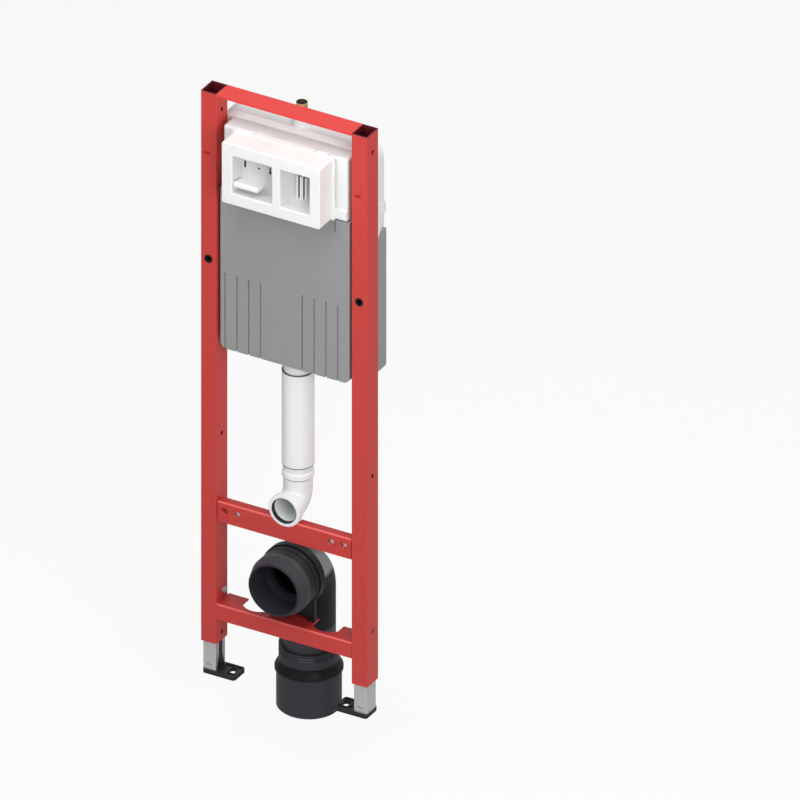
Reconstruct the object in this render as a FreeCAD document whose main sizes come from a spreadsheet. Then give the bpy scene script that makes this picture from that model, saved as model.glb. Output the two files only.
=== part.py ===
import FreeCAD, Part
import math
import os
import re

import Sketcher

# A narrow steel frame that carries a wall hung toilet in front of its concealed cistern.
# Millimetres, +Z up, front towards -Y. Heights are measured from the soles of the two feet.
# Shapes are drawn about the frame's centre line, its front plane and the floor, and every piece is
# then placed so that the document's origin is the centre of the left foot's sole.

SIZES = {
    # The welded frame
    "frame_width": 320,
    "frame_height": 1120,
    "tube_width": 30,
    "tube_depth": 38,
    "tube_wall": 2,
    "tube_corner": 1.5,
    "leg_setting": 62,
    "metre_mark_height": 1000,
    "metre_mark_length": 11,
    "metre_mark_width": 3.5,
    "metre_mark_depth": 0.5,
    "wall_hole_drop": 320,
    "wall_hole_bore": 14,
    "side_hole_bore": 8,
    "top_side_hole_drop": 37,
    "middle_side_hole_height": 460,
    "outer_side_hole_height": 161,
    "inner_side_hole_rise": 15,
    "bar_plate": 2,
    "bar_lip": 4.6,
    # Rails
    "rail_wall": 2.5,
    "rail_bend": 4,
    "middle_rail_rise": 79,
    "middle_rail_face": 39,
    "middle_rail_depth": 17,
    "middle_rail_inset": 1.5,
    "rail_end_gap": 1.5,
    "end_plate": 5,
    "end_plate_depth": 12,
    "lower_rail_drop": 110,
    "lower_rail_face": 30,
    "lower_rail_depth": 42,
    "lower_rail_lip": 15,
    "notch_place": 67.5,
    "notch_width": 48,
    "notch_flare": 6.1,
    "notch_floor": 9.6,
    "pipe_room": 3,
    # Toilet fixings
    "fixing_rise": 23,
    "fixing_edge": 15,
    "fixing_pitch": 25,
    "fixing_thread": 12,
    "fixing_nut": 19,
    "fixing_nut_length": 10,
    "fit_clearance": 0.1,
    "seat_clearance": 0.3,
    # Wall bolt sleeves
    "sleeve_wall": 1.65,
    "sleeve_rim": 0.5,
    "sleeve_rim_thickness": 1,
    # Legs and feet
    "leg_side_play": 0.5,
    "leg_front_play": 1,
    "leg_wall": 2,
    "leg_corner": 2,
    "leg_length": 330,
    "leg_slot": 12,
    "leg_snap_hole": 2.6,
    "leg_snap_spacing": 5.6,
    "leg_snap_height": 10,
    "foot_side_inset": 2,
    "foot_length": 62,
    "foot_front": 1,
    "foot_plate": 8,
    "foot_corner": 5,
    "foot_rim": 3,
    "foot_tray_depth": 2.5,
    "foot_slot_inset": 13,
    "foot_bore": 11,
    "foot_slot_width": 12,
    "foot_slot_length": 17,
    "foot_slot_depth": 2.5,
    "foot_boss": 22,
    "foot_hollow_depth": 3,
    "fin_thickness": 4,
    "fin_height": 82,
    "fin_top": 10,
    "fin_flare": 26,
    "leg_screw_rise": 16,
    "leg_screw_back": 13.5,
    "leg_screw_shank": 6,
    "leg_screw_head": 12,
    "leg_screw_head_height": 2.5,
    # Insulation and cistern
    "foam_wall": 8,
    "foam_front_side_gap": 6,
    "foam_front": 3.5,
    "foam_bottom_drop": 486,
    "foam_front_drop": 177,
    "foam_rear_side_inset": 9,
    "foam_back": 80,
    "foam_rear_drop": 212,
    "foam_rear_slope": 16,
    "foam_slope_from": 22,
    "foam_slope_to": 7,
    "foam_corner": 12,
    "foam_back_corner": 6,
    "foam_slit": 2,
    "foam_slit_depth": 23,
    "foam_slit_inset": 28,
    "groove_width": 3,
    "groove_depth": 4,
    "groove_height": 145,
    "groove_pitch": 22.8,
    "groove_left_inset": 8.5,
    "groove_right_inset": 22.6,
    "tank_side_gap": 10.5,
    "tank_front": 5,
    "tank_front_drop": 57,
    "tank_rear_side_inset": 13,
    "tank_back_inset": 0.5,
    "tank_rear_drop": 49,
    "tank_shoulder": 30,
    "tank_edge": 5,
    "tank_step_back": 7,
    "band_thickness": 3,
    "band_gap": 2.7,
    "band_height": 19.5,
    "band_round": 2,
    "lug_width": 3.5,
    "lug_depth": 9,
    "lug_drop": 163,
    "lug_height": 21,
    # Service box
    "box_width": 189.4,
    "box_height": 116,
    "box_drop": 58,
    "box_depth": 42,
    "box_gap": 7,
    "box_recess": 28,
    "box_corner": 4,
    "box_edge": 1.5,
    "window_low_edge": 21,
    "window_high_edge": 22,
    "window_side_edge": 19.7,
    "left_window_width": 77,
    "window_bar": 15,
    "right_window_width": 57.5,
    "port_depth": 6,
    "port_drop": 33,
    "slot_port_inset": 7.8,
    "slot_port_width": 3.8,
    "slot_port_height": 13,
    "round_port_inset": 36.4,
    "round_port": 4,
    "keyhole_inset": 58,
    "keyhole_width": 2.4,
    "keyhole_height": 12.3,
    "keyhole_bore": 5,
    "small_port_inset": 17.5,
    "small_port": 2.5,
    "flange_overhang": 3,
    "flange_neck": 14,
    "tab_height": 5,
    "left_tab_inset": 4.7,
    "left_tab_width": 27,
    "right_tab_inset": 10.7,
    "right_tab_width": 18,
    "lever_inset": 2,
    "lever_width": 45.5,
    "lever_rise": 13.5,
    "lever_front_height": 8.5,
    "lever_back_height": 4,
    "lever_depth": 25.5,
    "lever_wall": 2,
    "lever_roof": 3,
    "lever_lip_round": 3.5,
    "rod_inset": 21.2,
    "rod_width": 9,
    "rod_gap": 0.6,
    "rod_wall": 2.7,
    "rod_floor": 2,
    "rod_depth": 8,
    "rod_rise": 14,
    "rod_height": 43,
    # Water stub
    "stub_inset": 19.5,
    "stub_seat": 32,
    "stub_seat_height": 16,
    "stub_nut": 27,
    "stub_nut_height": 6,
    "stub_thread": 20,
    "stub_bore": 15.5,
    "stub_drop": 6,
    "cap_sink": 3,
    "cap_height": 6,
    # Flush pipe
    "flush_depth": 47.5,
    "flush_rise": 18,
    "flush_bore": 45,
    "flush_wall": 2.5,
    "sleeve_pipe_wall": 2.5,
    "sleeve_pipe_drop": 27,
    "sleeve_pipe_rise": 12,
    "sleeve_gap_width": 1.2,
    "sleeve_gap_depth": 8,
    "sleeve_tab_width": 6,
    "flush_neck_rise": 59,
    "bead_rise": 2.3,
    "bead_height": 11,
    "bead_round": 2,
    "flush_bend_ease": 2,
    "flush_ring": 60,
    "flush_ring_length": 10,
    "flush_ring_round": 2,
    "flush_socket": 54,
    "flush_socket_length": 22,
    "flush_stop": 10,
    "seal_wall": 1.2,
    "seal_length": 8,
    # Drain
    "drain_height": 220,
    "drain_diameter": 90,
    "drain_wall": 3,
    "pipe_fit": 0.4,
    "bend_ease": 3,
    "bend_gap": 59,
    "outlet_front": -35,
    "outlet_rim_wall": 2.6,
    "outlet_body_wall": 9.6,
    "outlet_cone": 20,
    "outlet_length": 60,
    "outlet_groove_place": 15,
    "outlet_groove": 3,
    "outlet_groove_depth": 1,
    "outlet_stop": 3,
    "spigot_reach": 13,
    "collar_rise": 2.3,
    "collar_flare": 4,
    "clamp_gap": 2,
    "clamp_thickness": 8,
    "clamp_edge": 0.5,
    "clamp_leg": 14,
    "clamp_foot_height": 8,
    "clamp_rise": 46,
    "adapter_top": 63,
    "adapter_socket_wall": 5.6,
    "adapter_shoulder": 32,
    "adapter_seat": 1,
    "adapter_cone": 12,
    "adapter_ring_rise": 2.8,
    "adapter_ring_band": 5,
    "adapter_spigot_step": 4,
    "adapter_length": 120,
    "adapter_groove": 1.4,
    "adapter_groove_depth": 0.8,
    "adapter_groove_pitch": 5,
    "adapter_edge": 3,
}

PLANES = {"XY": "XY_Plane", "XZ": "XZ_Plane", "YZ": "YZ_Plane"}
ALONG_X = FreeCAD.Vector(1, 0, 0)
ALONG_Y = FreeCAD.Vector(0, 1, 0)
ALONG_Z = FreeCAD.Vector(0, 0, 1)
NEAR = 0.01
ROUGH_REACH = 50

document = FreeCAD.newDocument("toilet_frame")
sheet = document.addObject("Spreadsheet::Sheet", "sizes")
for row, (size_name, size_value) in enumerate(SIZES.items(), start=1):
    sheet.set("A%d" % row, size_name)
    sheet.set("B%d" % row, str(size_value))
    sheet.setAlias("B%d" % row, size_name)
document.recompute()

bodies = []

# Places that several pieces share, as formulas of the sizes
INNER_FACE = "(frame_width / 2 - tube_width)"
TUBE_PLACE = "(frame_width / 2 - tube_width / 2)"
FOOT_PLACE = "(frame_width / 2 - foot_side_inset - foot_length / 2)"
RAIL_LOW = "(drain_height + middle_rail_rise)"
RAIL_TOP = "(drain_height + middle_rail_rise + middle_rail_face)"
LOW_BOTTOM = "(drain_height - lower_rail_drop)"
LOW_TOP = "(drain_height - lower_rail_drop + lower_rail_face)"
FOAM_BOTTOM = "(frame_height - foam_bottom_drop)"
FOAM_FRONT_TOP = "(frame_height - foam_front_drop)"
FOAM_REAR_TOP = "(frame_height - foam_rear_drop)"
FOAM_SPLIT = "(tube_depth + seat_clearance)"
TANK_TOP = "(frame_height - tank_rear_drop)"
FLUSH_HEIGHT = "(drain_height + middle_rail_rise + middle_rail_face + flush_rise)"
OUTLET_BACK = "(outlet_front + outlet_length)"
PIPE_DEPTH = "(outlet_front + outlet_length + bend_gap)"


def from_sheet(formula):
    """Make a formula of plain size names read those names from the sheet."""
    return re.sub(r"[a-z][a-z_]+", lambda word: "sizes." + word.group(), formula)


def bind(item, place, formula):
    """Tie one value of an object to a formula of sizes."""
    item.setExpression(place, from_sheet(formula))


def new_body(name):
    """Start a piece."""
    body = document.addObject("PartDesign::Body", name)
    body.Label = name
    bodies.append(body)
    return body


def place_body(body, across="0", back="0", up="0"):
    """Move a piece to its place, seen from the centre of the left sole."""
    bind(body, "Placement.Base.x", "%s + %s" % (across, FOOT_PLACE))
    bind(body, "Placement.Base.y", "%s - foot_front - tube_depth / 2" % back)
    bind(body, "Placement.Base.z", up)


def new_sketch(body, plane, level):
    """Open a sketch on one of the piece's own planes, at a level along +X, +Y or +Z."""
    sketch = body.newObject("Sketcher::SketchObject", body.Name + "_sketch")
    support = [item for item in body.Origin.OriginFeatures if item.Role == PLANES[plane]][0]
    sketch.AttachmentSupport = [(support, "")]
    sketch.MapMode = "FlatFace"
    sign = "-" if plane == "XZ" else ""
    bind(sketch, "AttachmentOffset.Base.z", "%s(%s)" % (sign, level))
    return sketch


def constrain(sketch, formula, *rule):
    """Add one dimension to a sketch and tie it to a formula."""
    number = sketch.addConstraint(Sketcher.Constraint(*rule, ROUGH_REACH))
    sketch.setExpression("Constraints[%d]" % number, from_sheet(formula))


def pin_point(sketch, piece, end, across, up):
    """Hold one point of a sketch at two distances from its origin."""
    constrain(sketch, across, "DistanceX", -1, 1, piece, end)
    constrain(sketch, up, "DistanceY", -1, 1, piece, end)


def polygon(corners):
    """A closed outline with straight sides through the given corners."""
    def draw(sketch):
        first = len(sketch.Geometry)
        count = len(corners)
        turn = 2 * math.pi / count
        ring = [FreeCAD.Vector(math.cos(turn * step), math.sin(turn * step), 0) for step in range(count)]
        for step in range(count):
            ends = (ring[step] * ROUGH_REACH, ring[(step + 1) % count] * ROUGH_REACH)
            sketch.addGeometry(Part.LineSegment(*ends))
        for step in range(count):
            after = first + (step + 1) % count
            sketch.addConstraint(Sketcher.Constraint("Coincident", first + step, 2, after, 1))
        for step, (across, up) in enumerate(corners):
            pin_point(sketch, first + step, 1, across, up)
    return draw


def rectangle(left, right, low, high):
    """A rectangle between two positions each way."""
    return polygon([(left, low), (right, low), (right, high), (left, high)])


def hexagon(width):
    """A hexagon about the sketch's origin, with two upright sides a width apart."""
    tip = "%s / %.6f" % (width, math.sqrt(3))
    half = "%s / 2" % width
    return polygon([("0", tip), ("-" + half, tip + " / 2"), ("-" + half, "-%s / 2" % tip),
                    ("0", "-" + tip), (half, "-%s / 2" % tip), (half, tip + " / 2")])


def circle(across, up, diameter):
    """A circle about a point."""
    def draw(sketch):
        first = len(sketch.Geometry)
        sketch.addGeometry(Part.Circle(FreeCAD.Vector(0, 0, 0), ALONG_Z, ROUGH_REACH))
        pin_point(sketch, first, 3, across, up)
        constrain(sketch, diameter, "Diameter", first)
    return draw


def draw_all(sketch, outlines):
    """Draw each outline into a sketch."""
    for outline in outlines:
        outline(sketch)


def add(body, plane, low, high, *outlines):
    """Add material between two levels."""
    start = high if plane == "XZ" else low
    sketch = new_sketch(body, plane, start)
    draw_all(sketch, outlines)
    pad = body.newObject("PartDesign::Pad", body.Name + "_pad")
    pad.Profile = sketch
    bind(pad, "Length", "(%s) - (%s)" % (high, low))
    return pad


def cut(body, plane, low, high, *outlines):
    """Cut material away between two levels."""
    document.recompute()
    before = body.Tip.Shape.Volume
    start = low if plane == "XZ" else high
    sketch = new_sketch(body, plane, start)
    draw_all(sketch, outlines)
    pocket = body.newObject("PartDesign::Pocket", body.Name + "_pocket")
    pocket.Profile = sketch
    bind(pocket, "Length", "(%s) - (%s)" % (high, low))
    document.recompute()
    if not body.Tip.Shape.Volume < before:
        raise RuntimeError("a cut removes nothing from " + body.Label)
    return pocket


def spin(body, plane, axis, *outlines, angle=360, back_turn=False):
    """Turn outlines about an axis of their sketch."""
    sketch = new_sketch(body, plane, "0")
    draw_all(sketch, outlines)
    turned = body.newObject("PartDesign::Revolution", body.Name + "_turned")
    turned.Profile = sketch
    turned.ReferenceAxis = (sketch, [axis])
    turned.Angle = angle
    turned.Reversed = back_turn
    return turned


def runs_along(edge, direction):
    """Tell whether an edge is straight and runs along a direction."""
    if len(edge.Vertexes) != 2 or edge.Curve.TypeId != "Part::GeomLine":
        return False
    return abs(abs(edge.tangentAt(edge.FirstParameter).dot(direction)) - 1) < NEAR * NEAR


def round_edges(body, radius, wanted):
    """Round the edges that a test picks, given the edge, its middle and the piece's box."""
    document.recompute()
    base = body.Tip
    box = base.Shape.BoundBox
    names = []
    for number, edge in enumerate(base.Shape.Edges, start=1):
        if wanted(edge, edge.CenterOfMass, box):
            names.append("Edge%d" % number)
    if not names:
        raise RuntimeError("no edge to round on " + body.Label)
    fillet = body.newObject("PartDesign::Fillet", body.Name + "_fillet")
    fillet.Base = (base, names)
    bind(fillet, "Radius", radius)
    return fillet


def upright_corner(edge, middle, box):
    """Pick the upright edges at a piece's left and right ends."""
    across = min(middle.x - box.XMin, box.XMax - middle.x) < NEAR
    return across and runs_along(edge, ALONG_Z) and min(middle.y - box.YMin, box.YMax - middle.y) < NEAR


def front_top(edge, middle, box):
    """Pick the upper front edge of a piece."""
    return runs_along(edge, ALONG_X) and middle.y - box.YMin < NEAR and box.ZMax - middle.z < NEAR


def lower_corner(edge, middle, box):
    """Pick the lower edges that run from front to back at a piece's ends."""
    return runs_along(edge, ALONG_Y) and middle.z - box.ZMin < NEAR


def toward_middle(side, near, far):
    """Give the lower and upper end of a stretch that runs from near to far towards the centre line."""
    if side == "right":
        return "-(%s)" % far, "-(%s)" % near
    return near, far


SIGNS = {"left": "-1", "right": "1"}

# Uprights: rectangular steel tubes, open at both ends, drawn about their own middle.
screw_depth = "(tube_depth - leg_screw_back)"
screw_height = "(drain_height - lower_rail_drop + lower_rail_face + leg_screw_rise)"
wall_hole_height = "(frame_height - wall_hole_drop)"
for side in ("left", "right"):
    upright = new_body(side + "_upright")
    add(upright, "XY", "leg_setting", "frame_height",
        rectangle("-tube_width / 2", "tube_width / 2", "0", "tube_depth"))
    round_edges(upright, "tube_corner", upright_corner)
    cut(upright, "XY", "leg_setting", "frame_height",
        rectangle("-tube_width / 2 + tube_wall", "tube_width / 2 - tube_wall",
                  "tube_wall", "tube_depth - tube_wall"))
    cut(upright, "XZ", "0", "tube_depth", circle("0", wall_hole_height, "wall_hole_bore"))
    cut(upright, "XZ", "0", "metre_mark_depth",
        rectangle("-metre_mark_length / 2", "metre_mark_length / 2",
                  "metre_mark_height - metre_mark_width / 2", "metre_mark_height + metre_mark_width / 2"))
    cut(upright, "YZ", "-tube_width / 2", "tube_width / 2",
        circle("tube_depth / 2", "frame_height - top_side_hole_drop", "side_hole_bore"),
        circle("tube_depth / 2", "middle_side_hole_height", "side_hole_bore"))
    outer_wall = toward_middle(side, "-tube_width / 2", "tube_wall - tube_width / 2")
    cut(upright, "YZ", outer_wall[0], outer_wall[1],
        circle("tube_depth / 2", "outer_side_hole_height", "side_hole_bore"))
    inner_wall = toward_middle(side, "tube_width / 2 - tube_wall", "tube_width / 2")
    cut(upright, "YZ", inner_wall[0], inner_wall[1],
        circle("tube_depth / 2", "leg_setting + inner_side_hole_rise", "side_hole_bore"),
        circle(screw_depth, screw_height, "leg_screw_shank + 2 * fit_clearance"))
    place_body(upright, SIGNS[side] + " * " + TUBE_PLACE)

# Top bar: a shallow folded channel between the uprights.
top_bar = new_body("top_bar")
add(top_bar, "YZ", "-" + INNER_FACE, INNER_FACE,
    polygon([("0", "frame_height"), ("0", "frame_height - bar_lip"),
             ("bar_plate", "frame_height - bar_lip"), ("bar_plate", "frame_height - bar_plate"),
             ("tube_depth - bar_plate", "frame_height - bar_plate"),
             ("tube_depth - bar_plate", "frame_height - bar_lip"),
             ("tube_depth", "frame_height - bar_lip"), ("tube_depth", "frame_height")]))
round_edges(top_bar, "bar_plate / 2", front_top)
place_body(top_bar)

# Middle rail: a folded channel with a saddle for the flush socket and four fixing holes.
middle_rail = new_body("middle_rail")
rail_inside = "(middle_rail_inset + rail_wall)"
rail_back = "(middle_rail_inset + middle_rail_depth)"
add(middle_rail, "YZ", "rail_end_gap - " + INNER_FACE, INNER_FACE + " - rail_end_gap",
    polygon([("middle_rail_inset", RAIL_TOP), ("middle_rail_inset", RAIL_LOW), (rail_back, RAIL_LOW),
             (rail_back, RAIL_LOW + " + rail_wall"), (rail_inside, RAIL_LOW + " + rail_wall"),
             (rail_inside, RAIL_TOP + " - rail_wall"), (rail_back, RAIL_TOP + " - rail_wall"),
             (rail_back, RAIL_TOP)]))
round_edges(middle_rail, "rail_bend", front_top)
for low, high in (("-" + INNER_FACE, "end_plate - " + INNER_FACE), (INNER_FACE + " - end_plate", INNER_FACE)):
    add(middle_rail, "YZ", low, high,
        rectangle(rail_inside, rail_inside + " + end_plate_depth",
                  RAIL_LOW + " + rail_wall", RAIL_TOP + " - rail_wall"))
cut(middle_rail, "XZ", "0", rail_back, circle("0", FLUSH_HEIGHT, "flush_ring + 2 * seat_clearance"))
fixing_height = RAIL_LOW + " + fixing_rise"
outer_fixing = "(frame_width / 2 - tube_width - fixing_edge)"
inner_fixing = "(frame_width / 2 - tube_width - fixing_edge - fixing_pitch)"
FIXINGS = {
    "left_outer_fixing": "-" + outer_fixing,
    "left_inner_fixing": "-" + inner_fixing,
    "right_inner_fixing": inner_fixing,
    "right_outer_fixing": outer_fixing,
}
for across in FIXINGS.values():
    cut(middle_rail, "XZ", "0", rail_inside, circle(across, fixing_height, "fixing_thread"))
place_body(middle_rail)

# Toilet fixings: hexagon nuts welded behind the middle rail's face.
for fixing_name, across in FIXINGS.items():
    fixing = new_body(fixing_name)
    add(fixing, "XZ", "0", "fixing_nut_length", hexagon("fixing_nut"), circle("0", "0", "fixing_thread"))
    place_body(fixing, across, rail_inside, fixing_height)

# Lower rail: front wall, deep top flange and a short lower lip, cut away around the drain.
lower_rail = new_body("lower_rail")
add(lower_rail, "YZ", "-" + INNER_FACE, INNER_FACE,
    polygon([("0", LOW_TOP), ("0", LOW_BOTTOM), ("lower_rail_lip", LOW_BOTTOM),
             ("lower_rail_lip", LOW_BOTTOM + " + rail_wall"), ("rail_wall", LOW_BOTTOM + " + rail_wall"),
             ("rail_wall", LOW_TOP + " - rail_wall"), ("lower_rail_depth", LOW_TOP + " - rail_wall"),
             ("lower_rail_depth", LOW_TOP)]))
round_edges(lower_rail, "rail_bend", front_top)


def notch(sign):
    """The round-bottomed cut-out in the top flange at one side of the drain."""
    def draw(sketch):
        half = SIZES["notch_width"] / 2
        radius = half + SIZES["notch_flare"]
        middle = sign * SIZES["notch_place"]
        shoulder = SIZES["notch_floor"] + radius - math.sqrt(radius ** 2 - half ** 2)
        back = SIZES["lower_rail_depth"]
        floor = FreeCAD.Vector(middle, SIZES["notch_floor"], 0)
        low_left = FreeCAD.Vector(middle - half, shoulder, 0)
        low_right = FreeCAD.Vector(middle + half, shoulder, 0)
        high_right = FreeCAD.Vector(middle + half, back, 0)
        high_left = FreeCAD.Vector(middle - half, back, 0)
        sketch.addGeometry(Part.Arc(low_left, floor, low_right))
        sketch.addGeometry(Part.LineSegment(low_right, high_right))
        sketch.addGeometry(Part.LineSegment(high_right, high_left))
        sketch.addGeometry(Part.LineSegment(high_left, low_left))
        for rule in (("Coincident", 0, 2, 1, 1), ("Coincident", 1, 2, 2, 1),
                     ("Coincident", 2, 2, 3, 1), ("Coincident", 3, 2, 0, 1),
                     ("Vertical", 1), ("Vertical", 3), ("Horizontal", 2)):
            sketch.addConstraint(Sketcher.Constraint(*rule))
        place = "%d * notch_place" % sign
        pin_point(sketch, 0, 3, place, "notch_floor + notch_width / 2 + notch_flare")
        constrain(sketch, "notch_width / 2 + notch_flare", "Radius", 0)
        pin_point(sketch, 2, 1, place + " + notch_width / 2", "lower_rail_depth")
        constrain(sketch, place + " - notch_width / 2", "DistanceX", -1, 1, 3, 1)
    return draw


for sign in (-1, 1):
    cut(lower_rail, "XY", LOW_TOP + " - rail_wall", LOW_TOP, notch(sign))
cut(lower_rail, "XY", LOW_TOP + " - rail_wall", LOW_TOP,
    circle("0", PIPE_DEPTH, "drain_diameter + 2 * pipe_room"))
place_body(lower_rail)

# Sleeves for the rods that tie the uprights back to the wall.
sleeve_outside = "(wall_hole_bore / 2 - fit_clearance)"
sleeve_inside = "(wall_hole_bore / 2 - fit_clearance - sleeve_wall)"
sleeve_edge = "(wall_hole_bore / 2 + sleeve_rim)"
for side in ("left", "right"):
    sleeve = new_body(side + "_wall_sleeve")
    spin(sleeve, "YZ", "H_Axis",
         polygon([("-sleeve_rim_thickness", sleeve_inside), ("-sleeve_rim_thickness", sleeve_edge),
                  ("0", sleeve_edge), ("0", sleeve_outside),
                  ("tube_depth", sleeve_outside), ("tube_depth", sleeve_inside)]))
    place_body(sleeve, SIGNS[side] + " * " + TUBE_PLACE, "0", wall_hole_height)

# Legs: open C profiles that slide in the uprights, on black moulded feet. Each foot has a flared fin
# that fills the profile's open side, and a tray with a slotted boss for the floor anchor.
leg_half = "(tube_width / 2 - tube_wall - leg_side_play)"
leg_front = "(tube_wall + leg_front_play)"
leg_back = "(tube_depth - tube_wall - leg_front_play)"
leg_top = "(foot_plate + leg_length)"
leg_middle = "(tube_depth / 2)"
fin_base = "(tube_depth / 2 - tube_wall - leg_front_play - leg_wall - 2 * seat_clearance)"
flare_top = "(foot_plate + fin_flare)"
foot_half = "(foot_length / 2)"
foot_back = "(foot_front + tube_depth)"
foot_middle = "(foot_front + tube_depth / 2)"
for side in ("left", "right"):
    leg = new_body(side + "_leg")
    add(leg, "XY", "foot_plate", leg_top, rectangle("-" + leg_half, leg_half, leg_front, leg_back))
    round_edges(leg, "leg_corner", upright_corner)
    cut(leg, "XY", "foot_plate", leg_top,
        rectangle("leg_wall - " + leg_half, leg_half + " - leg_wall",
                  leg_front + " + leg_wall", leg_back + " - leg_wall"))
    open_side = toward_middle(side, leg_half + " - leg_wall", leg_half)
    cut(leg, "YZ", open_side[0], open_side[1],
        rectangle("(tube_depth - leg_slot) / 2", "(tube_depth + leg_slot) / 2", "foot_plate", leg_top))
    cut(leg, "YZ", open_side[0], open_side[1],
        polygon([("%s - %s - seat_clearance" % (leg_middle, fin_base), "foot_plate"),
                 ("%s + %s + seat_clearance" % (leg_middle, fin_base), "foot_plate"),
                 ("%s + leg_slot / 2" % leg_middle, flare_top),
                 ("%s - leg_slot / 2" % leg_middle, flare_top)]))
    cut(leg, "XZ", leg_front, leg_front + " + leg_wall",
        circle("-leg_snap_spacing / 2", "foot_plate + leg_snap_height", "leg_snap_hole"),
        circle("leg_snap_spacing / 2", "foot_plate + leg_snap_height", "leg_snap_hole"))
    place_body(leg, SIGNS[side] + " * " + TUBE_PLACE)

    foot = new_body(side + "_foot_plate")
    inward = {"left": "", "right": "-"}[side]
    tray = toward_middle(side, "%s - %s + %s + foot_rim" % (FOOT_PLACE, TUBE_PLACE, leg_half),
                         foot_half + " - foot_rim")
    hollow = toward_middle(side, foot_half + " - foot_slot_inset - foot_boss / 2",
                           foot_half + " - foot_rim")
    fin = toward_middle(side, "%s - %s - fin_thickness / 2" % (FOOT_PLACE, TUBE_PLACE),
                        "%s - %s + %s" % (FOOT_PLACE, TUBE_PLACE, leg_half))
    slot_place = "%s(%s - foot_slot_inset)" % (inward, foot_half)
    add(foot, "XY", "0", "foot_plate", rectangle("-" + foot_half, foot_half, "foot_front", foot_back))
    round_edges(foot, "foot_corner", upright_corner)
    cut(foot, "XY", "foot_plate - foot_tray_depth", "foot_plate",
        rectangle(tray[0], tray[1], "foot_front + foot_rim", foot_back + " - foot_rim"))
    cut(foot, "XY", "0", "foot_hollow_depth",
        rectangle(hollow[0], hollow[1], "foot_front + foot_rim", foot_back + " - foot_rim"))
    add(foot, "XY", "foot_hollow_depth", "foot_plate", circle(slot_place, foot_middle, "foot_boss"))
    cut(foot, "XY", "foot_hollow_depth", "foot_plate", circle(slot_place, foot_middle, "foot_bore"))
    cut(foot, "XY", "foot_plate - foot_slot_depth", "foot_plate",
        rectangle(slot_place + " - foot_slot_width / 2", slot_place + " + foot_slot_width / 2",
                  foot_middle + " - foot_slot_length / 2", foot_middle + " + foot_slot_length / 2"))
    add(foot, "YZ", fin[0], fin[1],
        polygon([("%s - %s" % (leg_middle, fin_base), "foot_plate"),
                 ("%s + %s" % (leg_middle, fin_base), "foot_plate"),
                 (leg_middle + " + fin_top / 2", flare_top),
                 (leg_middle + " + fin_top / 2", "foot_plate + fin_height"),
                 (leg_middle + " - fin_top / 2", "foot_plate + fin_height"),
                 (leg_middle + " - fin_top / 2", flare_top)]))
    place_body(foot, "%s * %s" % (SIGNS[side], FOOT_PLACE))

    screw = new_body(side + "_leg_screw")
    spin(screw, "XZ", "H_Axis",
         rectangle("0", "-(%s) * leg_screw_head_height" % SIGNS[side], "0", "leg_screw_head / 2"))
    shank = toward_middle(side, "-tube_wall", "0")
    add(screw, "YZ", shank[0], shank[1], circle("0", "0", "leg_screw_shank"))
    place_body(screw, SIGNS[side] + " * " + INNER_FACE, screw_depth, screw_height)

# Insulation: two foam half shells around the cistern, the front one between the uprights.
foam_front_half = "(frame_width / 2 - tube_width - foam_front_side_gap)"
foam_rear_half = "(frame_width / 2 - foam_rear_side_inset)"
foam_front = new_body("insulation_front")
add(foam_front, "XZ", "foam_front", FOAM_SPLIT,
    rectangle("-" + foam_front_half, foam_front_half, FOAM_BOTTOM, FOAM_FRONT_TOP))
round_edges(foam_front, "foam_corner", lower_corner)
cut(foam_front, "XZ", "foam_front + foam_wall", FOAM_SPLIT,
    rectangle("foam_wall - " + foam_front_half, foam_front_half + " - foam_wall",
              FOAM_BOTTOM + " + foam_wall", FOAM_FRONT_TOP))
grooves = []
for number in range(4):
    for centre in ("groove_left_inset - %s + %d * groove_pitch" % (foam_front_half, number),
                   "%s - groove_right_inset - %d * groove_pitch" % (foam_front_half, number)):
        grooves.append(rectangle(centre + " - groove_width / 2", centre + " + groove_width / 2",
                                 FOAM_BOTTOM, FOAM_BOTTOM + " + groove_height"))
cut(foam_front, "XZ", "foam_front", "foam_front + groove_depth", *grooves)
slit = foam_front_half + " - foam_slit_inset"
cut(foam_front, "XZ", "foam_front", "foam_front + groove_depth",
    rectangle(slit + " - foam_slit / 2", slit + " + foam_slit / 2",
              FOAM_FRONT_TOP + " - foam_slit_depth", FOAM_FRONT_TOP))
place_body(foam_front)

# The rear shell's top edge drops towards the uprights.
slope_low = FOAM_REAR_TOP + " - foam_rear_slope"
foam_rear = new_body("insulation_rear")
add(foam_rear, "XZ", FOAM_SPLIT, "foam_back",
    rectangle("-" + foam_rear_half, foam_rear_half, FOAM_BOTTOM, FOAM_REAR_TOP))
round_edges(foam_rear, "foam_corner", lower_corner)
round_edges(foam_rear, "foam_back_corner",
            lambda edge, middle, box: runs_along(edge, ALONG_X)
            and box.YMax - middle.y < NEAR and box.ZMax - middle.z < NEAR)
cut(foam_rear, "XZ", FOAM_SPLIT, "foam_back - foam_wall",
    rectangle("foam_wall - " + foam_rear_half, foam_rear_half + " - foam_wall",
              FOAM_BOTTOM + " + foam_wall", FOAM_REAR_TOP))
cut(foam_rear, "YZ", "-" + foam_rear_half, foam_rear_half,
    polygon([(FOAM_SPLIT, slope_low), ("foam_back - foam_slope_from", slope_low),
             ("foam_back - foam_slope_to", FOAM_REAR_TOP), (FOAM_SPLIT, FOAM_REAR_TOP)]))
place_body(foam_rear)

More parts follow.
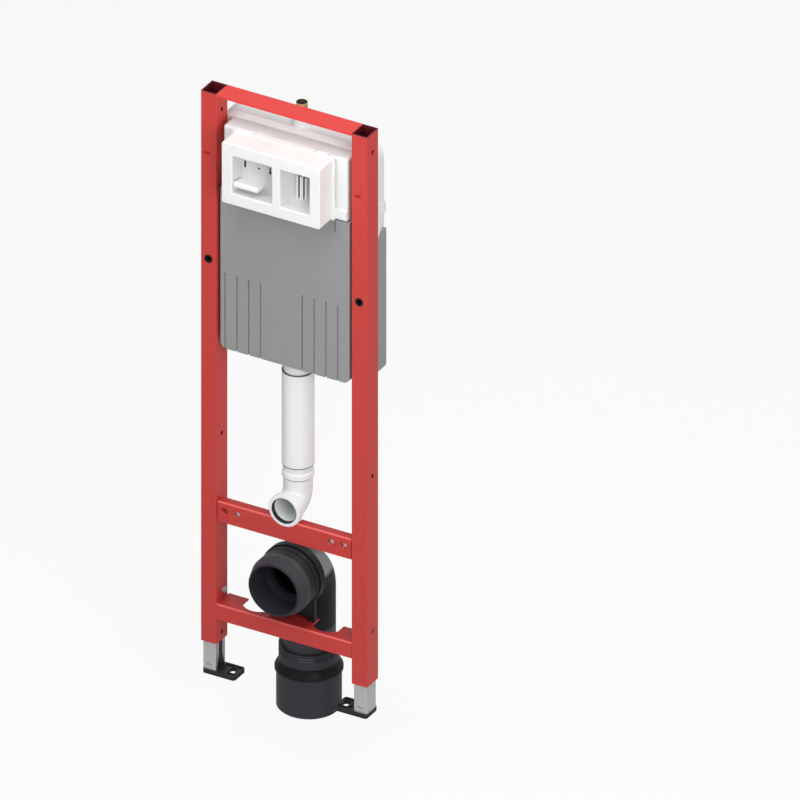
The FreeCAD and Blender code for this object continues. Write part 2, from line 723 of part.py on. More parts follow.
# Cistern: a moulded tank whose lower half sits in the foam. Above it, the front part fills the space
# between the uprights, and the wider rear part has a step, round shoulders, a lug at each end and a
# round seat for the water stub.
tank = new_body("cistern_tank")
foam_fit = "(foam_wall + seat_clearance)"
tank_half = "(frame_width / 2 - tube_width - tank_side_gap)"
rear_half = "(frame_width / 2 - tank_rear_side_inset)"
tank_back = "(foam_back - tank_back_inset)"
front_top_height = "(frame_height - tank_front_drop)"
band_low = "(frame_height - foam_front_drop + band_gap)"
band_top = "(frame_height - foam_front_drop + band_gap + band_height)"
band_front = "(tank_front - band_thickness)"
add(tank, "XZ", "tank_front", FOAM_SPLIT, rectangle("-" + tank_half, tank_half, band_low, front_top_height))
round_edges(tank, "tank_edge",
            lambda edge, middle, box: box.ZMax - middle.z < NEAR and middle.y < box.YMax - NEAR
            or runs_along(edge, ALONG_Z) and middle.y - box.YMin < NEAR)
add(tank, "XZ", "foam_front + " + foam_fit, FOAM_SPLIT,
    rectangle("%s - %s" % (foam_fit, foam_front_half), "%s - %s" % (foam_front_half, foam_fit),
              "%s + %s" % (FOAM_BOTTOM, foam_fit), band_top))
add(tank, "XZ", FOAM_SPLIT, "foam_back - " + foam_fit,
    rectangle("%s - %s" % (foam_fit, foam_rear_half), "%s - %s" % (foam_rear_half, foam_fit),
              "%s + %s" % (FOAM_BOTTOM, foam_fit), FOAM_FRONT_TOP))
add(tank, "YZ", "-" + rear_half, rear_half,
    polygon([(FOAM_SPLIT, slope_low + " + seat_clearance"),
             ("foam_back - foam_slope_from", slope_low + " + seat_clearance"),
             ("foam_back - foam_slope_to", FOAM_REAR_TOP + " + seat_clearance"),
             (tank_back, FOAM_REAR_TOP + " + seat_clearance"), (tank_back, TANK_TOP),
             (FOAM_SPLIT + " + tank_step_back", TANK_TOP), (FOAM_SPLIT, front_top_height)]))
round_edges(tank, "tank_shoulder",
            lambda edge, middle, box: runs_along(edge, ALONG_Y) and box.ZMax - middle.z < NEAR)
add(tank, "XZ", band_front, "tank_front", rectangle("-" + tank_half, tank_half, band_low, band_top))
round_edges(tank, "band_round",
            lambda edge, middle, box: runs_along(edge, ALONG_X) and middle.y - box.YMin < NEAR)
for near, far in ((rear_half, rear_half + " + lug_width"), ("-%s - lug_width" % rear_half, "-" + rear_half)):
    add(tank, "YZ", near, far,
        rectangle(tank_back + " - lug_depth", tank_back,
                  "frame_height - lug_drop - lug_height", "frame_height - lug_drop"))
stub_depth = tank_back + " - stub_inset"
seat_top = "%s + stub_seat_height" % TANK_TOP
add(tank, "XY", TANK_TOP, seat_top, circle("0", stub_depth, "stub_seat"))
place_body(tank)

# Service box: a moulded box on the cistern's front with two windows and what works in them.
box_half = "(box_width / 2)"
box_top = "(frame_height - box_drop)"
box_bottom = "(frame_height - box_drop - box_height)"
box_back = "(tank_front - box_gap)"
box_front = "(tank_front - box_gap - box_depth)"
recess_back = "(tank_front - box_gap - box_depth + box_recess)"
window_low = box_bottom + " + window_low_edge"
window_high = box_top + " - window_high_edge"
left_window = "(window_side_edge - box_width / 2)"
right_window = "(window_side_edge - box_width / 2 + left_window_width + window_bar)"
port_low = "(%s - port_drop)" % window_high
service_box = new_body("service_box")
add(service_box, "XZ", box_front, box_back, rectangle("-" + box_half, box_half, box_bottom, box_top))
round_edges(service_box, "box_corner",
            lambda edge, middle, box: runs_along(edge, ALONG_Y))
for window_start, window_width in ((left_window, "left_window_width"), (right_window, "right_window_width")):
    cut(service_box, "XZ", box_front, recess_back,
        rectangle(window_start, "%s + %s" % (window_start, window_width), window_low, window_high))
round_edges(service_box, "box_edge", lambda edge, middle, box: middle.y - box.YMin < NEAR)


def bore_ports(*outlines):
    """Sink holes into the back wall of the windows."""
    cut(service_box, "XZ", recess_back, recess_back + " + port_depth", *outlines)


slot_port = left_window + " + slot_port_inset"
keyhole = left_window + " + keyhole_inset"
bore_ports(rectangle(slot_port, slot_port + " + slot_port_width", port_low, port_low + " + slot_port_height"),
           circle(left_window + " + round_port_inset", port_low + " + keyhole_bore", "round_port"),
           circle(keyhole, port_low + " + keyhole_bore / 2", "keyhole_bore"),
           circle(right_window + " + small_port_inset", port_low + " + keyhole_bore", "small_port"))
bore_ports(rectangle(keyhole + " - keyhole_width / 2", keyhole + " + keyhole_width / 2",
                     port_low + " + keyhole_bore / 2", port_low + " + keyhole_height"))
place_body(service_box)

flange = new_body("box_flange")
flange_half = "(box_width / 2 + flange_overhang)"
flange_top = box_top + " + flange_overhang / 2"
add(flange, "XZ", box_back, band_front,
    rectangle("-" + flange_half, flange_half, box_bottom + " - flange_overhang / 2", flange_top))
add(flange, "XZ", band_front, "tank_front",
    rectangle("flange_neck - " + box_half, box_half + " - flange_neck",
              band_top + " + seat_clearance", box_top + " - flange_neck"))
for tab_start, tab_width in (("left_tab_inset - " + box_half, "left_tab_width"),
                             (box_half + " - right_tab_inset - right_tab_width", "right_tab_width")):
    add(flange, "XZ", box_back, band_front,
        rectangle(tab_start, "%s + %s" % (tab_start, tab_width), flange_top, flange_top + " + tab_height"))
place_body(flange)

# Valve lever: a wedge with a thick round lip, hollow from below.
lever = new_body("valve_lever")
lever_start = left_window + " + lever_inset"
lever_end = left_window + " + lever_inset + lever_width"
lever_low = window_low + " + lever_rise"
lever_front = recess_back + " - lever_depth"
add(lever, "YZ", lever_start, lever_end,
    polygon([(lever_front, lever_low), (lever_front, lever_low + " + lever_front_height"),
             (recess_back, lever_low + " + lever_back_height"), (recess_back, lever_low)]))
round_edges(lever, "lever_lip_round", front_top)
cut(lever, "YZ", lever_start + " + lever_wall", lever_end + " - lever_wall",
    polygon([(lever_front + " + lever_wall", lever_low),
             (lever_front + " + lever_wall", lever_low + " + lever_front_height - lever_roof"),
             (recess_back + " - lever_wall", lever_low + " + lever_back_height - lever_wall"),
             (recess_back + " - lever_wall", lever_low)]))
place_body(lever)

# Push rods: two moulded channels side by side that stand on the right window's back wall.
for side, start in (("left", right_window + " + rod_inset"),
                    ("right", right_window + " + rod_inset + rod_width + rod_gap")):
    rod = new_body(side + "_push_rod")
    rod_low = window_low + " + rod_rise"
    rod_front = recess_back + " - rod_depth"
    rod_floor = recess_back + " - rod_floor"
    add(rod, "XY", rod_low, rod_low + " + rod_height",
        polygon([(start, recess_back), (start, rod_front), (start + " + rod_wall", rod_front),
                 (start + " + rod_wall", rod_floor), (start + " + rod_width - rod_wall", rod_floor),
                 (start + " + rod_width - rod_wall", rod_front), (start + " + rod_width", rod_front),
                 (start + " + rod_width", recess_back)]))
    place_body(rod)

# Water stub: a threaded brass tail with a hexagon nut on its seat and a black cap sunk in its bore.
stub = new_body("water_stub")
stub_top = "(frame_height - stub_drop)"
nut_top = seat_top + " + stub_nut_height"
add(stub, "XY", seat_top, nut_top, hexagon("stub_nut"), circle("0", "0", "stub_bore"))
add(stub, "XY", nut_top, stub_top, circle("0", "0", "stub_thread"), circle("0", "0", "stub_bore"))
place_body(stub, "0", stub_depth)

cap = new_body("stub_cap")
add(cap, "XY", stub_top + " - cap_sink - cap_height", stub_top + " - cap_sink",
    circle("0", "0", "stub_bore"))
place_body(cap, "0", stub_depth)

# Flush pipe: a straight pipe under the cistern in a wider sleeve, with a gap and a tab at its mouth.
flush_tube = "(flush_bore / 2 + flush_wall)"
sleeve_radius = "(flush_bore / 2 + flush_wall + sleeve_pipe_wall)"
neck_bottom = "(%s + flush_neck_rise)" % FLUSH_HEIGHT
sleeve_bottom = neck_bottom + " + sleeve_pipe_rise"
sleeve_top = "(%s - sleeve_pipe_drop)" % FOAM_BOTTOM
gap_radius = flush_tube + " + sleeve_gap_width"
flush_pipe = new_body("flush_pipe")
spin(flush_pipe, "XZ", "V_Axis",
     polygon([("flush_bore / 2", FOAM_BOTTOM), (flush_tube, FOAM_BOTTOM),
              (flush_tube, sleeve_top + " - sleeve_gap_depth"),
              (gap_radius, sleeve_top + " - sleeve_gap_depth"),
              (gap_radius, sleeve_top), (sleeve_radius, sleeve_top), (sleeve_radius, sleeve_bottom),
              (flush_tube, sleeve_bottom), (flush_tube, neck_bottom), ("flush_bore / 2", neck_bottom)]))
add(flush_pipe, "XY", sleeve_top + " - sleeve_gap_depth", sleeve_top,
    rectangle("-sleeve_tab_width / 2", "sleeve_tab_width / 2",
              "-%s - sleeve_pipe_wall / 2" % flush_tube, "fit_clearance - " + flush_tube))
place_body(flush_pipe, "0", "flush_depth")

# Flush elbow: a tight bend under a round bead, drawn about the centre of its bend.
elbow = new_body("flush_elbow")
flush_bend = "(flush_bore / 2 + flush_wall + flush_bend_ease)"
bend_depth = "(flush_depth - %s)" % flush_bend
bend_height = "(%s + %s)" % (FLUSH_HEIGHT, flush_bend)
bead_low = "%s - bead_height - %s" % (neck_bottom, bend_height)
ring_low = (circle("0", "-" + flush_bend, "2 * " + flush_tube), circle("0", "-" + flush_bend, "flush_bore"))
ring_up = (circle("0", flush_bend, "2 * " + flush_tube), circle("0", flush_bend, "flush_bore"))
spin(elbow, "XZ", "H_Axis", *ring_low, angle=90)
add(elbow, "XZ", "flush_stop - " + bend_depth, "0", *ring_low)
add(elbow, "XY", "0", bead_low, *ring_up)
add(elbow, "XY", bead_low, "%s - %s" % (neck_bottom, bend_height),
    circle("0", flush_bend, "2 * %s + 2 * bead_rise" % flush_tube), circle("0", flush_bend, "flush_bore"))
round_edges(elbow, "bead_round",
            lambda edge, middle, box: edge.Curve.TypeId == "Part::GeomCircle"
            and abs(edge.Curve.Radius - box.XMax) < NEAR)
place_body(elbow, "0", bend_depth, bend_height)

# Flush socket: a thick round lip, the seat of its seal and a longer sleeve over the elbow.
socket = new_body("flush_socket")
seal_radius = "(flush_bore / 2 + seal_wall)"
sleeve_bore = flush_tube + " + seat_clearance"
spin(socket, "YZ", "H_Axis",
     polygon([("0", seal_radius + " + fit_clearance"), ("0", "flush_ring / 2"),
              ("flush_ring_length", "flush_ring / 2"), ("flush_ring_length", "flush_socket / 2"),
              ("flush_socket_length", "flush_socket / 2"), ("flush_socket_length", sleeve_bore),
              ("flush_stop", sleeve_bore), ("flush_stop", "flush_bore / 2"),
              ("seal_length", "flush_bore / 2"), ("seal_length", seal_radius + " + fit_clearance")]))
round_edges(socket, "flush_ring_round",
            lambda edge, middle, box: edge.Curve.TypeId == "Part::GeomCircle"
            and abs(edge.Curve.Radius - box.XMax) < NEAR and middle.y - box.YMin < NEAR)
place_body(socket, "0", "0", FLUSH_HEIGHT)

seal = new_body("flush_seal")
spin(seal, "YZ", "H_Axis",
     polygon([("0", "flush_bore / 2"), ("0", seal_radius), ("seal_length", seal_radius),
              ("seal_length", "flush_bore / 2")]))
place_body(seal, "0", "0", FLUSH_HEIGHT)

# Drain outlet: the socket that takes the toilet's outlet, turned about its own axis.
outlet = new_body("drain_socket")
outlet_bore = "(drain_diameter / 2 + pipe_fit)"
outlet_body = "(drain_diameter / 2 + pipe_fit + outlet_body_wall)"
groove_floor = outlet_body + " - outlet_groove_depth"
groove_start = OUTLET_BACK + " - outlet_groove_place"
stop_back = OUTLET_BACK + " - spigot_reach"
spin(outlet, "YZ", "H_Axis",
     polygon([("outlet_front", outlet_bore), ("outlet_front", outlet_bore + " + outlet_rim_wall"),
              ("outlet_front + outlet_cone", outlet_body), (groove_start, outlet_body),
              (groove_start, groove_floor), (groove_start + " + outlet_groove", groove_floor),
              (groove_start + " + outlet_groove", outlet_body), (OUTLET_BACK, outlet_body),
              (OUTLET_BACK, outlet_bore), (stop_back, outlet_bore),
              (stop_back, "drain_diameter / 2 - drain_wall"),
              (stop_back + " - outlet_stop", "drain_diameter / 2 - drain_wall"),
              (stop_back + " - outlet_stop", outlet_bore)]))
place_body(outlet, "0", "0", "drain_height")

# Collar: it ends just before the bend's upright leg, and its bore opens where the bend begins.
drain_bend = "(drain_diameter / 2 + bend_ease)"
turn_depth = "(%s - %s)" % (PIPE_DEPTH, drain_bend)
turn_height = "(drain_height - %s)" % drain_bend
collar_radius = outlet_body + " + collar_rise"
collar_back = PIPE_DEPTH + " - drain_diameter / 2 - seat_clearance"
collar = new_body("drain_collar")
spin(collar, "YZ", "H_Axis",
     polygon([(OUTLET_BACK, "drain_diameter / 2 + 2 * seat_clearance"), (OUTLET_BACK, collar_radius),
              (collar_back, collar_radius), (collar_back, "drain_diameter / 2 + collar_flare"),
              (turn_depth + " - seat_clearance", "drain_diameter / 2 + 2 * seat_clearance")]))
place_body(collar, "0", "0", "drain_height")

# Drain bend: a quarter bend with a spigot into the outlet and a long leg down, drawn about its centre.
bend = new_body("drain_bend")
section = (circle("0", drain_bend, "drain_diameter"),
           circle("0", drain_bend, "drain_diameter - 2 * drain_wall"))
spin(bend, "XZ", "H_Axis", *section, angle=90, back_turn=True)
add(bend, "XZ", "%s - %s" % (stop_back, turn_depth), "0", *section)
add(bend, "XY", "adapter_shoulder + adapter_seat - " + turn_height, "0", *section)
place_body(bend, "0", turn_depth, turn_height)

# Drain clamp: a cradle from the lower rail's tongue up around the collar.
clamp_front = OUTLET_BACK + " + clamp_gap"
clamp_back = OUTLET_BACK + " + clamp_gap + clamp_thickness"
clamp_half = "(notch_place - notch_width / 2 - clamp_edge)"
clamp = new_body("drain_clamp")
add(clamp, "XZ", clamp_front, clamp_back,
    rectangle("-" + clamp_half, clamp_half, LOW_TOP, LOW_TOP + " + clamp_rise"))
cut(clamp, "XZ", clamp_front, clamp_back,
    circle("0", "drain_height", "2 * %s + 2 * collar_rise + 2 * seat_clearance" % outlet_body))
cut(clamp, "XZ", clamp_front, clamp_back,
    rectangle("clamp_leg - " + clamp_half, clamp_half + " - clamp_leg",
              LOW_TOP, LOW_TOP + " + clamp_foot_height"))
place_body(clamp)

# Drain adapter: socket above and spigot below, turned about the drain's upright axis.
adapter = new_body("drain_adapter")
socket_radius = outlet_bore + " + adapter_socket_wall"
spigot_radius = socket_radius + " + adapter_spigot_step"
spigot_inside = spigot_radius + " - drain_wall - adapter_edge / 2"
ring_radius = spigot_radius + " + adapter_ring_rise"
ring_top = "adapter_shoulder - adapter_cone"
ring_low_edge = ring_top + " - adapter_ring_band"
adapter_bottom = "adapter_top - adapter_length"
seat_height = "adapter_shoulder + adapter_seat"
rim = [(outlet_bore, "adapter_top"), (socket_radius, "adapter_top")]
for number in (1, 2):
    top = "adapter_top - %d * adapter_groove_pitch" % number
    floor = socket_radius + " - adapter_groove_depth"
    rim += [(socket_radius, top), (floor, top), (floor, top + " - adapter_groove"),
            (socket_radius, top + " - adapter_groove")]
spin(adapter, "XZ", "V_Axis",
     polygon(rim + [(socket_radius, "adapter_shoulder"), (ring_radius, ring_top),
                    (ring_radius, ring_low_edge), (spigot_radius, ring_low_edge),
                    (spigot_radius, adapter_bottom + " + adapter_edge"),
                    (spigot_radius + " - adapter_edge", adapter_bottom), (spigot_inside, adapter_bottom),
                    (spigot_inside, ring_low_edge), (outlet_bore + " - drain_wall", "adapter_shoulder"),
                    (outlet_bore + " - drain_wall", seat_height), (outlet_bore, seat_height)]))
place_body(adapter, "0", PIPE_DEPTH)

document.recompute()
for item in document.Objects:
    if "Invalid" in item.State or "Error" in item.State:
        raise RuntimeError("%s failed: %s" % (item.Label, item.State))
for body in bodies:
    if body.Shape.isNull() or not body.Shape.isValid():
        raise RuntimeError(body.Label + " has no valid shape")

os.makedirs("parts", exist_ok=True)
for body in bodies:
    body.Shape.exportStep("parts/%s.step" % body.Label)
    print(body.Label, len(body.Shape.Solids), round(body.Shape.Volume), body.Shape.BoundBox)
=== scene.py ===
import math

import bmesh
import bpy
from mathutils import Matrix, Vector


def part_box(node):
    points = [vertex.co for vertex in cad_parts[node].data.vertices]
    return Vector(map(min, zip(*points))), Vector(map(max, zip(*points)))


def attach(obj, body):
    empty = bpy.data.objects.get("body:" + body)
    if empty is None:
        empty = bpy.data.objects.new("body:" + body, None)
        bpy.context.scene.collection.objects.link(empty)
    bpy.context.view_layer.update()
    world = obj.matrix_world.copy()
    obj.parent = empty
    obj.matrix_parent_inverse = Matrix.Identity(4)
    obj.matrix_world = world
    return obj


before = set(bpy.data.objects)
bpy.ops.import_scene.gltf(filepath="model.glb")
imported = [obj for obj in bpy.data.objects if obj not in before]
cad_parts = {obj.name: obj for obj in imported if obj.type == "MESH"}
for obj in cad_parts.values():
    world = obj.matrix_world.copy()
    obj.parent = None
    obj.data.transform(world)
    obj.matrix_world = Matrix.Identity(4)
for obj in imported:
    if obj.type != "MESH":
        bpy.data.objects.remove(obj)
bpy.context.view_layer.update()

# The uprights: two rectangular steel tubes that carry everything else, open at their tops.
# They are welded to the rails and powder coated red, which leaves a fine orange peel. Their bores and top
# rims are painted dark maroon as painted shade. A short dark mark sunk in each shows one metre.
COAT_RED = (0.56, 0.046, 0.040, 1)
COAT_RED_THIN = (0.61, 0.070, 0.058, 1)
BORE_PAINTED_SHADE = (0.11, 0.008, 0.014, 1)
PEEL_SIZE = 0.0016
PEEL_DEPTH = 0.00006
PEEL_SHARE = 0.12
DRIFT_SIZE = 0.12
DRIFT_SHARE = 0.35
DULL_PATCH_SIZE = 0.02
RIM_DEPTH = 0.0006
TUBE_WALL = 0.002
MARK_RED = (0.32, 0.018, 0.014, 1)
MARK_HEIGHT = 1.003
MARK_SHIFT = 0.0028
MARK_LENGTH = 0.012
MARK_WIDTH = 0.0048
SHARP = 0.0002


class Wire:
    """An output of a node that can stand in a sum, where each operator adds one Math node."""

    def __init__(self, works, output):
        self.works = works
        self.output = output

    def maths(self, operation, first, second=0.0):
        """Add a Math node with up to two values."""
        return self.works.node("ShaderNodeMath", {"operation": operation}, {0: first, 1: second})

    def __add__(self, other):
        return self.maths("ADD", self, other)

    def __radd__(self, other):
        return self.maths("ADD", other, self)

    def __sub__(self, other):
        return self.maths("SUBTRACT", self, other)

    def __rsub__(self, other):
        return self.maths("SUBTRACT", other, self)

    def __mul__(self, other):
        return self.maths("MULTIPLY", self, other)

    def __rmul__(self, other):
        return self.maths("MULTIPLY", other, self)

    def __pow__(self, other):
        return self.maths("POWER", self, other)

    def size(self):
        """The value without its sign."""
        return self.maths("ABSOLUTE", self)

    def most(self, other):
        """The larger of two values."""
        return self.maths("MAXIMUM", self, other)

    def within(self, least, most):
        """A value from 0 to 1, laid out between two levels."""
        return self * (most - least) + least

    def over(self, level, blur=SHARP):
        """1 where the value is above a level, 0 below it, with a soft step between."""
        inputs = {"Value": self, "From Min": level - blur / 2, "From Max": level + blur / 2}
        return self.works.node("ShaderNodeMapRange", {"interpolation_type": "SMOOTHSTEP"}, inputs)

    def under(self, level, blur=SHARP):
        """1 where the value is below a level, 0 above it, with a soft step between."""
        return 1 - self.over(level, blur)

    def between(self, low, high, blur=SHARP):
        """1 where the value lies between two levels, 0 outside them."""
        return self.over(low, blur) * self.under(high, blur)


class Works:
    """A node tree that is put together node by node."""

    def __init__(self, tree):
        self.tree = tree

    def feed(self, socket, value):
        """Give a socket a fixed value, the end of a wire, or a list of them where it takes several."""
        for one in value if isinstance(value, list) else [value]:
            if isinstance(one, Wire):
                self.tree.links.new(one.output, socket)
            else:
                socket.default_value = one

    def node(self, kind, settings=None, inputs=None, output=0):
        """Add a node: its settings come first, then the values or wires of its sockets."""
        made = self.tree.nodes.new(kind)
        for name, value in (settings or {}).items():
            setattr(made, name, value)
        for place, value in (inputs or {}).items():
            self.feed(made.inputs[place], value)
        return Wire(self, made.outputs[output])


class Finish(Works):
    """A surface finish on one Principled shader, whose fixed values are given by the sockets' names."""

    def __init__(self, name, **constants):
        self.material = bpy.data.materials.new(name)
        self.material.use_nodes = True
        super().__init__(self.material.node_tree)
        self.skin = self.tree.nodes["Principled BSDF"]
        for place, value in constants.items():
            self.feed(self.skin.inputs[place.replace("_", " ").title().replace("Ior", "IOR")], value)
        self.place = self.node("ShaderNodeTexCoord", output="Object")

    def along(self, axis):
        """The object's own coordinate along X, Y or Z, in metres."""
        return self.node("ShaderNodeSeparateXYZ", inputs={0: self.place}, output=axis)

    def noise(self, size, detail=2, stretch=(1, 1, 1)):
        """Clouds whose features are about one size across, in metres."""
        where = self.node("ShaderNodeMapping", inputs={"Vector": self.place, "Scale": stretch})
        return self.node("ShaderNodeTexNoise", inputs={"Vector": where, "Scale": 1 / size, "Detail": detail})

    def cells(self, size, output="Distance"):
        """Cells about one size across, in metres."""
        inputs = {"Vector": self.place, "Scale": 1 / size}
        return self.node("ShaderNodeTexVoronoi", inputs=inputs, output=output)

    def blend(self, share, first, second):
        """Mix two colours by a share."""
        return self.node("ShaderNodeMix", {"data_type": "RGBA"}, {0: share, 6: first, 7: second}, 2)

    def colour(self, value):
        """Set the base colour."""
        self.feed(self.skin.inputs["Base Color"], value)

    def rough(self, value):
        """Set the roughness."""
        self.feed(self.skin.inputs["Roughness"], value)

    def relief(self, height, depth, strength=1.0):
        """Raise the surface by a height between 0 and 1, times a depth in metres."""
        inputs = {"Height": height, "Distance": depth, "Strength": strength}
        self.feed(self.skin.inputs["Normal"], self.node("ShaderNodeBump", inputs=inputs))


def dress(names, finish):
    """Give pieces of the frame their finish."""
    for name in names:
        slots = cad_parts[name].data.materials
        slots.clear()
        slots.append(finish.material)


def powder_coat(name, red=COAT_RED, thin=COAT_RED_THIN):
    """Red powder coat: a finish and the colour that it shows in the open."""
    finish = Finish(name, ior=1.5, specular_ior_level=0.25)
    peel = finish.noise(PEEL_SIZE, detail=1)
    finish.rough(finish.noise(DULL_PATCH_SIZE).within(0.40, 0.50))
    finish.relief(peel, PEEL_DEPTH)
    return finish, finish.blend(finish.noise(DRIFT_SIZE) * DRIFT_SHARE + peel * PEEL_SHARE, red, thin)


tube_coat, tube_red = powder_coat("red_powder_coat_on_tubes")
left_low, left_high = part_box("left_upright")
right_low, right_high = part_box("right_upright")
frame_middle = (left_low.x + right_high.x) / 2
tube_offset = (right_low.x + right_high.x) / 2 - frame_middle
bore_half_width = (right_high.x - right_low.x - TUBE_WALL) / 2
bore_half_depth = (left_high.y - left_low.y - TUBE_WALL) / 2
tube_across = tube_coat.along("X")
tube_rise = tube_coat.along("Z")
from_side = ((tube_across - frame_middle).size() - tube_offset).size()
from_front = (tube_coat.along("Y") - (left_low.y + left_high.y) / 2).size()
in_bore = from_side.under(bore_half_width) * from_front.under(bore_half_depth)
# Painted shade: the bores and the top rims are painted dark maroon.
painted_shade_at_bores_and_rims = 1 - (1 - in_bore) * tube_rise.under(left_high.z - RIM_DEPTH)
mark_starts = [(low.x + high.x - MARK_LENGTH) / 2 - MARK_SHIFT
               for low, high in ((left_low, left_high), (right_low, right_high))]
mark = (sum(tube_across.between(start, start + MARK_LENGTH, blur=0.003) for start in mark_starts)
        * tube_rise.between(MARK_HEIGHT - MARK_WIDTH / 2, MARK_HEIGHT + MARK_WIDTH / 2, blur=0.002))
marked_red = tube_coat.blend(mark, tube_red, MARK_RED)
tube_coat.colour(tube_coat.blend(painted_shade_at_bores_and_rims, marked_red, BORE_PAINTED_SHADE))
dress(["left_upright", "right_upright"], tube_coat)

# The top bar: a shallow folded steel channel, welded between the uprights at their tops.
# It is coated with them in one piece. Its red is painted brighter than theirs, as painted light from above.
PAINTED_LIGHT_BAR_RED = (0.70, 0.050, 0.044, 1)
PAINTED_LIGHT_BAR_RED_THIN = (0.74, 0.066, 0.058, 1)

# The bar's brighter red is painted light.
bar_coat, bar_red_painted_light = powder_coat("red_powder_coat_on_bar_with_painted_light", PAINTED_LIGHT_BAR_RED, PAINTED_LIGHT_BAR_RED_THIN)
bar_coat.colour(bar_red_painted_light)
dress(["top_bar"], bar_coat)

# The middle rail: a folded steel channel with a saddle for the flush socket, coated red, with a painted
# highlight along its fold and painted shade on its top flange. Four zinc plated weld nuts behind its face
# take the toilet's bolts at two spacings. Each hole has a pressed collar that stands a little proud of the
# face.
FOLD_PAINTED_HIGHLIGHT = (0.84, 0.15, 0.13, 1)
FLANGE_PAINTED_SHADE = (0.42, 0.030, 0.028, 1)
FOLD_LINE = 0.0024
FLANGE_SKIN = 0.0008
# Pale pink painted light deep in the nuts, and dark red painted shade at their fronts.
NUT_ZINC_WITH_PAINTED_LIGHT = (1.0, 0.78, 0.75, 1)
NUT_PAINTED_SHADE = (0.24, 0.012, 0.012, 1)
NUT_SHADE_DEPTH = 0.004
NUT_BORE_RADIUS = 0.0064
FIXINGS = ["left_outer_fixing", "left_inner_fixing", "right_inner_fixing", "right_outer_fixing"]
COLLAR_OUTSIDE = 0.0086
COLLAR_CROWN = 0.0078
COLLAR_INSIDE = 0.0057
COLLAR_RISE = 0.0012
COLLAR_SINK = 0.0003
COLLAR_TAPER = 0.0002
CROWN_INWARD = 0.0005
CROWN_OUTWARD = 0.0004
COLLAR_STEPS = 40


def rail_coat(rail):
    """Red powder coat with a painted highlight along the rail's front fold and painted shade on the flange
    behind it.
    """
    finish, red = powder_coat("red_powder_coat_on_" + rail)
    low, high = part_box(rail)
    rise = finish.along("Z")
    back = finish.along("Y")
    # A painted highlight along the fold, and painted shade on the flange behind it.
    fold = rise.over(high.z - FOLD_LINE, blur=0.001) * back.under(low.y + FOLD_LINE, blur=0.001)
    flange = rise.over(high.z - FLANGE_SKIN, blur=0.001) * back.over(low.y + 1.5 * FOLD_LINE, blur=0.002)
    finish.colour(finish.blend(fold, finish.blend(flange, red, FLANGE_PAINTED_SHADE), FOLD_PAINTED_HIGHLIGHT))
    return finish


def from_axis(finish, node):
    """The distance from the axis along Y through the middle of a piece, in metres."""
    low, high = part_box(node)
    across = finish.along("X") - (low.x + high.x) / 2
    rise = finish.along("Z") - (low.z + high.z) / 2
    return (across * across + rise * rise) ** 0.5


def collar_tree(name, sizes, finish):
    """A tree that turns an outline round each of four holes, and the identifiers of its named sizes."""
    group = bpy.data.node_groups.new(name, "GeometryNodeTree")
    group.interface.new_socket("Outline", in_out="INPUT", socket_type="NodeSocketGeometry")
    kinds = {int: "NodeSocketInt", float: "NodeSocketFloat", Vector: "NodeSocketVector"}
    keys = {}
    for size, value in sizes.items():
        socket = group.interface.new_socket(size, in_out="INPUT", socket_type=kinds[type(value)])
        keys[size] = socket.identifier
    group.interface.new_socket("Collars", in_out="OUTPUT", socket_type="NodeSocketGeometry")

    press = Works(group)
    given = {socket.name: Wire(press, socket) for socket in group.nodes.new("NodeGroupInput").outputs}
    circle = press.node("GeometryNodeCurvePrimitiveCircle",
                        inputs={"Resolution": given["Steps"], "Radius": given["Crown Radius"]})
    outline = press.node("GeometryNodeMeshToCurve", inputs={"Mesh": given["Outline"]})
    ring = press.node("GeometryNodeCurveToMesh", inputs={"Curve": circle, "Profile Curve": outline})
    smooth_ring = press.node("GeometryNodeSetShadeSmooth", inputs={"Geometry": ring})
    pairs = []
    for spacing in (given["Outer Spacing"], given["Inner Spacing"]):
        start = press.node("ShaderNodeCombineXYZ", inputs={"X": spacing * -0.5})
        step = press.node("ShaderNodeCombineXYZ", inputs={"X": spacing})
        ends = {"Count": 2, "Start Location": start, "Offset": step}
        pairs.append(press.node("GeometryNodeMeshLine", inputs=ends))
    row = press.node("GeometryNodeJoinGeometry", inputs={"Geometry": pairs})
    holes = press.node("GeometryNodeTransform", inputs={"Geometry": row, "Translation": given["Middle"]})
    placed = press.node("GeometryNodeInstanceOnPoints",
                        inputs={"Points": holes, "Instance": smooth_ring, "Rotation": (math.pi / 2, 0, 0)})
    plain = press.node("GeometryNodeRealizeInstances", inputs={"Geometry": placed})
    coated = press.node("GeometryNodeSetMaterial", inputs={"Geometry": plain, "Material": finish.material})
    press.feed(group.nodes.new("NodeGroupOutput").inputs["Collars"], coated)
    return group, keys


def press_collars(name, outline, sizes, finish):
    """The four collars as one plain mesh, from a closed outline round their crown and their tree's sizes."""
    corners = [(outward, depth, 0) for outward, depth in outline]
    edges = [(corner, (corner + 1) % len(corners)) for corner in range(len(corners))]
    drawn = bpy.data.meshes.new("outline_of_" + name)
    drawn.from_pydata(corners, edges, [])
    piece = bpy.data.objects.new(name, drawn)
    bpy.context.scene.collection.objects.link(piece)
    modifier = piece.modifiers.new(name, "NODES")
    modifier.node_group, keys = collar_tree(name, sizes, finish)
    for size, value in sizes.items():
        modifier[keys[size]] = value
    pressed = piece.evaluated_get(bpy.context.evaluated_depsgraph_get())
    piece.data = bpy.data.meshes.new_from_object(pressed)
    piece.data.name = name
    piece.modifiers.remove(modifier)
    bpy.data.meshes.remove(drawn)
    return piece


middle_coat = rail_coat("middle_rail")
dress(["middle_rail"], middle_coat)

